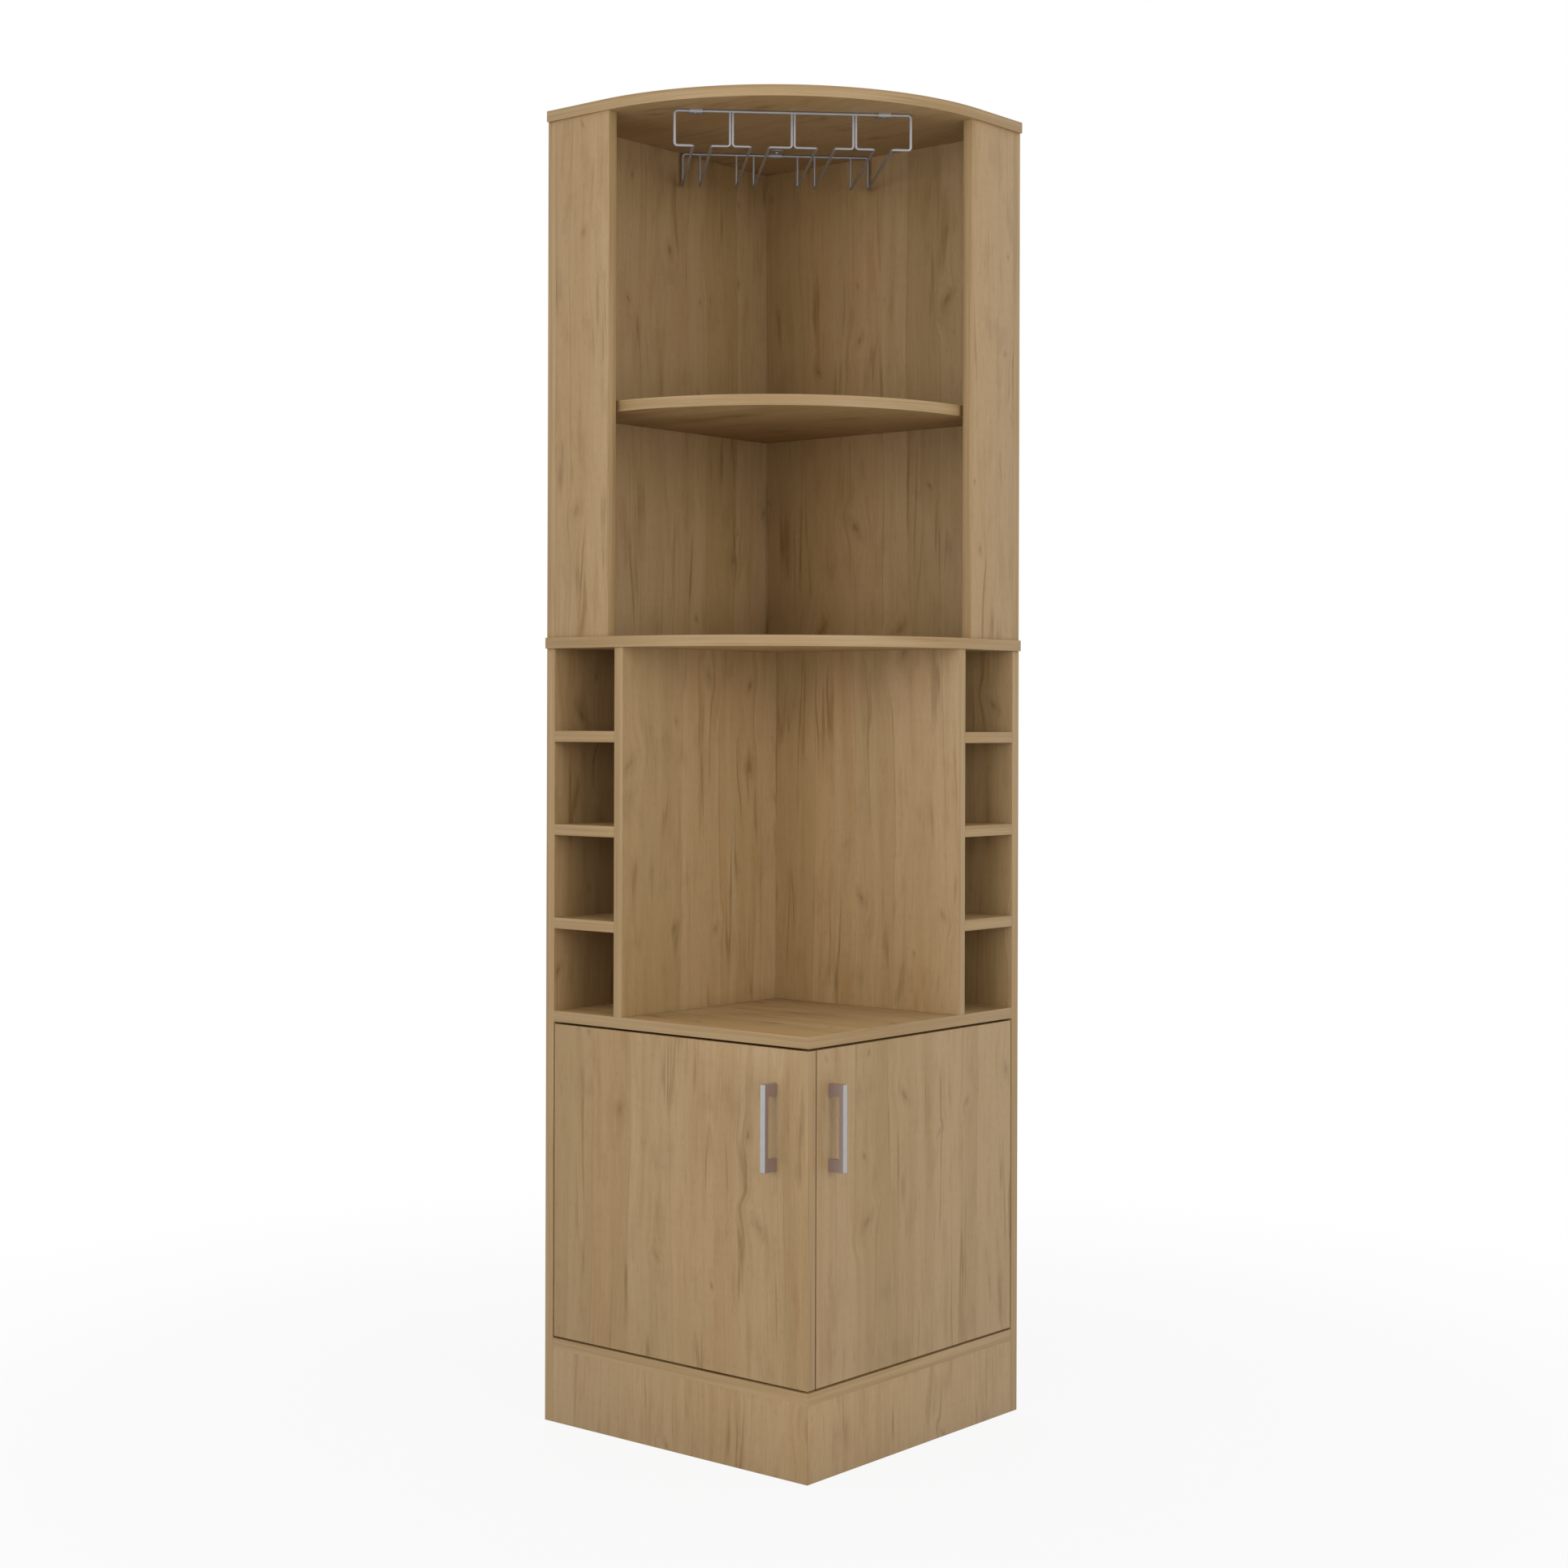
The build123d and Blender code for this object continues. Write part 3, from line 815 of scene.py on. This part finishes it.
@dataclass
class Boards:
    """All boards: their print, their banded edges, and edges eased as a banding machine does."""

    nodes: dict[str, bpy.types.Object]
    easing: float = 0.0005
    shortest_edge: float = 0.006
    cut_across: float = 0.371
    cut_along: float = 0.733
    rim_slope: float = 0.5
    lying: tuple[str, ...] = ("bottom_board", "worktop", "mid_plate", "top_plate", "upper_shelf")
    # Painted light: the plinth boards are made paler to stand in for light bounced up from a bright
    # floor, and the right door to stand in for the brighter light on its side; the upper right side
    # panel is only made paler.
    paler: dict[str, float] = field(
        default_factory=lambda: {
            "right_door": 0.14,
            "left_plinth_board": 0.12,
            "right_plinth_board": 0.20,
            "upper_right_side_panel": 0.06,
        }
    )
    oak: OakPrint = OakPrint()
    banding: EdgeBand = EdgeBand()

    def build(self, names: list[str]) -> None:
        """Replace every board's node by its eased and printed piece.

        Args:
            names: The boards' nodes.
        """
        for number, name in enumerate(names):
            piece = copy_of(self.nodes[name], f"{name}_banded")
            ease(piece, self.easing, self.shortest_edge)
            grain = self._grain(name)
            shift = (number * self.cut_across, number * self.cut_along)
            paler = self.paler.get(name, 0.0)
            print_face = self.oak.material(f"oak_{name}", grain, shift, paler)
            wear(piece, print_face, self.banding.material(f"band_{name}", grain, shift))
            self._band_edges(piece)
            stand_in(piece, self.nodes[name])

    def _band_edges(self, piece: bpy.types.Object) -> None:
        """Give the faces round a board's rim the banding, its second material.

        Args:
            piece: The board.
        """
        thin = min(range(3), key=lambda axis: piece.dimensions[axis])
        for face in piece.data.polygons:
            face.material_index = int(abs(face.normal[thin]) < self.rim_slope)

    def _grain(self, name: str) -> Grain:
        """Tell which way a board's grain runs, from its name."""
        lying = name in self.lying or "_rack_shelf_" in name
        return Grain.LYING if lying else Grain.STANDING


@dataclass(frozen=True)
class Head:
    """A screw's head and its recess, in shares of the head's height and radius.

    The outline's rings are pairs of depth and radius, from the top of the head down. The recess
    is cut by a prism, turned by each of the angles, which are in degrees.
    """

    outline: tuple[Pair, ...]
    recess_sides: int
    recess_radius: float
    recess_depth: float
    recess_narrowing: float
    recess_turns: tuple[float, ...]


class Drive(Enum):
    """The kinds of head, named for the recess that turns the screw."""

    HEX_SOCKET = Head(
        outline=((0.0, 0.90), (0.12, 0.985), (0.85, 1.0), (1.0, 0.96)),
        recess_sides=6,
        recess_radius=0.46,
        recess_depth=0.75,
        recess_narrowing=1.0,
        recess_turns=(0.0,),
    )
    CROSS = Head(
        outline=((0.0, 0.52), (0.18, 0.78), (0.5, 0.95), (0.85, 1.0), (1.0, 0.96)),
        recess_sides=4,
        recess_radius=0.62,
        recess_depth=0.65,
        recess_narrowing=0.22,
        recess_turns=(0.0, 90.0),
    )


@dataclass(frozen=True)
class ScrewSizes:
    """A screw's whole length, the radius and height of its head, and the radius of its shank."""

    length: float
    head: float
    head_height: float
    shank: float


@dataclass
class ScrewSet:
    """All screws of one node, each modelled in full in place of its plain solid."""

    node: bpy.types.Object
    drive: Drive
    sides: int = 24
    pitch_share: float = 0.42
    thread_share: float = 0.84
    tip_share: float = 0.15
    rim_share: float = 0.9
    middle_share: float = 0.2

    def build(self, finish: bpy.types.Material) -> None:
        """Model one screw, copy it to every place and join the copies.

        Args:
            finish: The screws' material.
        """
        places = self._places()
        screw = self._screw(places[0][1])
        copies = []
        for number, (place, _) in enumerate(places):
            copy = bpy.data.objects.new(f"{self.node.name}_{number}", screw.data.copy())
            bpy.context.scene.collection.objects.link(copy)
            copy.data.transform(place)
            copies.append(copy)
        bpy.data.objects.remove(screw)
        piece = join(copies, f"{self.node.name}_turned")
        wear(piece, finish)
        bpy.ops.object.shade_smooth_by_angle(angle=SMOOTH_ANGLE)
        stand_in(piece, self.node)

    def _places(self) -> list[tuple[Matrix, ScrewSizes]]:
        """Find every screw of the node.

        Returns:
            The place and the sizes of each, as _measure gives them.
        """
        whole = copy_of(self.node, f"{self.node.name}_measured")
        with editing(whole):
            bpy.ops.mesh.separate(type="LOOSE")
        parts = sorted(bpy.context.selected_objects, key=lambda part: part.name)
        found = [self._measure([vertex.co for vertex in part.data.vertices]) for part in parts]
        for part in parts:
            bpy.data.objects.remove(part)
        return found

    def _measure(self, points: list[Vector]) -> tuple[Matrix, ScrewSizes]:
        """Measure one plain screw from its corners.

        Args:
            points: The corners of the plain solid.

        Returns:
            The place of its head's top, with Z pointing out of the head, and its sizes.
        """
        low = Vector([min(point[axis] for point in points) for axis in range(3)])
        high = Vector([max(point[axis] for point in points) for axis in range(3)])
        middle = (low + high) / 2
        *sideways, main = sorted(range(3), key=lambda axis: high[axis] - low[axis])
        head = (high[sideways[0]] - low[sideways[0]]) / 2

        def radius(point: Vector) -> float:
            """Distance from the screw's middle line."""
            return math.dist(*[[spot[axis] for axis in sideways] for spot in (point, middle)])

        rim = [point[main] for point in points if radius(point) > head * self.rim_share]
        off_line = [radius(point) for point in points if radius(point) > head * self.middle_share]
        outward = 1.0 if sum(rim) / len(rim) > middle[main] else -1.0
        top = middle.copy()
        top[main] = high[main] if outward > 0 else low[main]
        axis = Vector([outward if index == main else 0.0 for index in range(3)])
        turn = axis.to_track_quat("Z", "Y").to_matrix().to_4x4()
        sizes = ScrewSizes(high[main] - low[main], head, max(rim) - min(rim), min(off_line))
        return Matrix.Translation(top) @ turn, sizes

    def _screw(self, sizes: ScrewSizes) -> bpy.types.Object:
        """Turn one screw with its head's top at the origin and its shank running down.

        Args:
            sizes: The screw's sizes.

        Returns:
            The screw.
        """
        head, tall = sizes.head, sizes.head_height
        stations = [(tall * depth, head * radius) for depth, radius in self.drive.value.outline]
        stations += [(tall, sizes.shank), *self._thread(tall, sizes.length, sizes.shank)]
        screw = turned(f"{self.node.name}_model", stations, self.sides)
        self._cut_recess(screw, head, tall)
        return screw

    def _thread(self, start: float, end: float, crest: float) -> list[Pair]:
        """List the rings of a screw's thread and of its point.

        Args:
            start: Where the thread starts, below the head's top.
            end: Where the point ends.
            crest: The radius of the thread's crests.

        Returns:
            Pairs of depth and radius.
        """
        root = crest * self.thread_share
        pitch = crest * 2 * self.pitch_share
        stations = []
        for ring in range(int((end - start - crest * 2) / pitch)):
            depth = start + pitch * (ring + 1)
            stations += [(depth, root), (depth + pitch / 2, crest)]
        return stations + [(end - crest, root), (end, crest * self.tip_share)]

    def _cut_recess(self, screw: bpy.types.Object, head: float, tall: float) -> None:
        """Cut the socket or the cross into the head's top.

        Args:
            screw: The screw.
            head: Its head's radius.
            tall: Its head's height.
        """
        form = self.drive.value
        for turn in form.recess_turns:
            radius, depth = head * form.recess_radius, tall * form.recess_depth
            angle = math.radians(turn)
            tool = cutter(form.recess_sides, radius, depth, angle, form.recess_narrowing)
            subtract(screw, tool)


def turned(name: str, stations: list[Pair], sides: int) -> bpy.types.Object:
    """Turn a solid as on a lathe, downwards from the origin.

    Args:
        name: The solid's name.
        stations: Pairs of depth below the origin and radius there.
        sides: Sides of the round.

    Returns:
        The solid.
    """
    depth, radius = stations[0]
    bpy.ops.mesh.primitive_circle_add(
        vertices=sides, radius=radius, fill_type="NGON", location=(0.0, 0.0, -depth)
    )
    piece = bpy.context.object
    piece.name = name
    piece.data.transform(piece.matrix_world)
    piece.matrix_world = Matrix.Identity(4)
    with editing(piece):
        bpy.ops.mesh.select_all(action="SELECT")
        for next_depth, next_radius in stations[1:]:
            bpy.ops.mesh.extrude_region()
            bpy.ops.transform.translate(value=(0.0, 0.0, depth - next_depth))
            scale = next_radius / radius
            centre = (0.0, 0.0, -next_depth)
            bpy.ops.transform.resize(value=(scale, scale, 1.0), center_override=centre)
            depth, radius = next_depth, next_radius
        bpy.ops.mesh.select_all(action="SELECT")
        bpy.ops.mesh.normals_make_consistent(inside=False)
    return piece


def cutter(
    sides: int, radius: float, depth: float, angle: float, narrowing: float
) -> bpy.types.Object:
    """A prism to cut with, standing through the plane of a head's top.

    Args:
        sides: Its sides.
        radius: Its radius to the corners.
        depth: How deep it reaches below the plane.
        angle: Its turn about Z.
        narrowing: Its width across, as a share of its width along.

    Returns:
        The prism.
    """
    bpy.ops.mesh.primitive_cylinder_add(vertices=sides, radius=radius, depth=depth * 2)
    tool = bpy.context.object
    squeeze = Matrix.Diagonal((1.0, narrowing, 1.0, 1.0))
    tool.data.transform(Matrix.Rotation(angle, 4, "Z") @ squeeze)
    return tool


def subtract(piece: bpy.types.Object, tool: bpy.types.Object) -> None:
    """Cut a tool from a piece and remove the tool.

    Args:
        piece: The piece.
        tool: The solid to take away from it.
    """
    cut = piece.modifiers.new("cut", "BOOLEAN")
    cut.operation = "DIFFERENCE"
    cut.solver = "EXACT"
    cut.object = tool
    pick(piece)
    bpy.ops.object.modifier_apply(modifier=cut.name)
    bpy.data.objects.remove(tool)


def join(pieces: list[bpy.types.Object], name: str) -> bpy.types.Object:
    """Join pieces into one object.

    Args:
        pieces: The pieces.
        name: The name of the joined piece.

    Returns:
        The joined piece.
    """
    pick(*pieces)
    bpy.ops.object.join()
    pieces[0].name = name
    return pieces[0]


@dataclass
class Fittings:
    """Handles, rack, clips, hinges, screws and dowels, each in its form and finish."""

    nodes: dict[str, bpy.types.Object]
    easing: float = 0.0003
    handle_easing: float = 0.0006
    handle_segments: int = 3
    shortest_edge: float = 0.0015
    eased: tuple[str, ...] = ("_hinge_arms", "_hinge_bases", "_hinge_cups", "rack_clips")

    def build(self, slots: dict[str, str]) -> None:
        """Give every fitting its form and finish.

        Args:
            slots: The material slot of each fitting's node.
        """
        finishes = {
            "rack_wire": RACK_FINISH.material("plated_wire"),
            "hinge_steel": HINGE_FINISH.material("nickel_hinge"),
            "screw_steel": SCREW_FINISH.material("zinc_screw"),
            "dowel_wood": DOWEL_FINISH.material("beech_dowel", Grain.LYING, (0.0, 0.0)),
        }
        for name, slot in slots.items():
            if slot == "handle_metal":
                self._handle(name)
            elif slot == "screw_steel":
                drive = Drive.HEX_SOCKET if name == "connecting_screws" else Drive.CROSS
                ScrewSet(self.nodes[name], drive).build(finishes[slot])
            elif name.endswith(self.eased):
                piece = copy_of(self.nodes[name], f"{name}_eased")
                ease(piece, self.easing, self.shortest_edge)
                wear(piece, finishes[slot])
                stand_in(piece, self.nodes[name])
            else:
                wear(self.nodes[name], finishes[slot])
                LOG.info("%s wears %s", name, finishes[slot].name)

    def _handle(self, name: str) -> None:
        """Ease and dress one handle, whose front looks along Y on the left door, X on the right.

        Args:
            name: The handle's node.
        """
        facing = int(name.startswith("left_"))
        piece = copy_of(self.nodes[name], f"{name}_eased")
        ease(piece, self.handle_easing, self.shortest_edge, self.handle_segments)
        wear(piece, HANDLE_FINISH.material(f"satin_{name}", facing))
        stand_in(piece, self.nodes[name])


@dataclass(frozen=True)
class Lamp:
    """A wide soft lamp: its bearing in degrees from +X, and its power in watts."""

    bearing: float
    power: float


@dataclass
class Studio:
    """Camera, three wide soft lamps, white surroundings and a pale floor."""

    camera_place: CoordinateTriple = (2.2231, -2.6953, 0.9610)
    camera_turn: float = 0.697693
    camera_roll: float = 0.0029075
    lens: float = 58.08
    sensor: float = 36.0
    shift: Pair = (0.011786, -0.039556)
    surroundings: float = 0.71
    lamps: tuple[Lamp, ...] = (Lamp(-86.0, 37.0), Lamp(-14.0, 38.0), Lamp(135.0, 18.0))
    lamp_distance: float = 3.7
    lamp_height: float = 1.5
    lamp_aim: CoordinateTriple = (0.0, 0.0, 0.8)
    lamp_side: float = 2.2
    floor_radius: float = 5.0
    floor_sides: int = 96
    floor_whiteness: float = 0.90
    floor_shade: float = 0.56
    floor_fade: Pair = (0.6, 2.0)

    def build(self) -> None:
        """Set up the whole studio."""
        self._camera()
        self._world()
        for lamp in self.lamps:
            self._hang(lamp)
        self._floor()
        bpy.context.scene.view_settings.view_transform = "Standard"
        LOG.info("studio: %d lamps and a floor", len(self.lamps))

    def _camera(self) -> None:
        """Put the camera at the photograph's viewpoint."""
        bpy.ops.object.camera_add()
        camera = bpy.context.object
        camera.name = "viewpoint"
        turn = Matrix.Rotation(self.camera_turn, 4, "Z")
        level = Matrix.Rotation(math.radians(90), 4, "X")
        roll = Matrix.Rotation(self.camera_roll, 4, "Z")
        camera.matrix_world = Matrix.Translation(self.camera_place) @ turn @ level @ roll
        camera.data.lens = self.lens
        camera.data.sensor_width = self.sensor
        camera.data.shift_x, camera.data.shift_y = self.shift
        bpy.context.scene.camera = camera

    @staticmethod
    def _seen(sheet: NodeSheet) -> Signal:
        """Tell the rays that see the surroundings from the rays that carry light.

        Args:
            sheet: The node sheet.

        Returns:
            1 for the rays that see them, 0 for the others.
        """
        camera = sheet.add("ShaderNodeLightPath", output="Is Camera Ray")
        mirrored = sheet.math("MAXIMUM", camera, camera.beside("Is Glossy Ray"))
        return sheet.math("MAXIMUM", mirrored, camera.beside("Is Transmission Ray"))

    def _world(self) -> None:
        """White to the camera and in reflections, softer as a light."""
        world = bpy.data.worlds.new("white_surroundings")
        bpy.context.scene.world = world
        world.use_nodes = True
        sheet = NodeSheet(world.node_tree)
        strength = self.surroundings + self._seen(sheet) * (1.0 - self.surroundings)
        light = sheet.add(
            "ShaderNodeBackground", inputs={"Color": (1.0, 1.0, 1.0), "Strength": strength}
        )
        sheet.add("ShaderNodeOutputWorld", inputs={"Surface": light})

    def _hang(self, lamp: Lamp) -> None:
        """Hang one lamp, turned to the cabinet.

        Args:
            lamp: The lamp.
        """
        bearing = math.radians(lamp.bearing)
        east, north = self.lamp_distance * math.cos(bearing), self.lamp_distance * math.sin(bearing)
        place = Vector((east, north, self.lamp_height))
        bpy.ops.object.light_add(type="AREA", location=place)
        light = bpy.context.object
        light.name = "soft_lamp"
        aim = Vector(self.lamp_aim) - place
        light.rotation_euler = aim.to_track_quat("-Z", "Y").to_euler()
        light.data.size = self.lamp_side
        light.data.energy = lamp.power

    def _floor(self) -> None:
        """Lay a round pale floor that fades into the white surroundings."""
        bpy.ops.mesh.primitive_circle_add(
            vertices=self.floor_sides, radius=self.floor_radius, fill_type="NGON"
        )
        floor = bpy.context.object
        floor.name = "floor"
        material, sheet = new_material("pale_floor")
        place = sheet.coordinates("Object")
        settings = {"operation": "LENGTH"}
        distance = sheet.add("ShaderNodeVectorMath", settings, {0: place}, output="Value")
        far = sheet.between(distance, self.floor_fade)
        whiteness = self.floor_whiteness + far * (1.0 - self.floor_whiteness)
        matt = sheet.add("ShaderNodeBsdfDiffuse", inputs={"Color": (self.floor_shade,) * 3})
        white = sheet.add("ShaderNodeEmission", inputs={"Color": (1.0, 1.0, 1.0)})
        factor = whiteness * self._seen(sheet)
        surface = sheet.add("ShaderNodeMixShader", inputs={0: factor, 1: matt, 2: white})
        sheet.add("ShaderNodeOutputMaterial", inputs={"Surface": surface})
        floor.data.materials.append(material)


def main() -> None:
    """Dress the cabinet and set up the studio."""
    logging.basicConfig(level=logging.INFO, format="%(message)s")
    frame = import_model()
    bpy.ops.object.select_all(action="DESELECT")
    nodes = frame["nodes"]
    slots = {part["node"]: part["material_slot"] for part in frame["record"]["subparts"]}
    board_names = sorted(name for name, slot in slots.items() if slot == "board")
    Boards(nodes).build(board_names)
    Fittings(nodes).build({name: slot for name, slot in slots.items() if slot != "board"})
    Studio().build()
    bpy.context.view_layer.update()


if __name__ == "__main__":
    main()
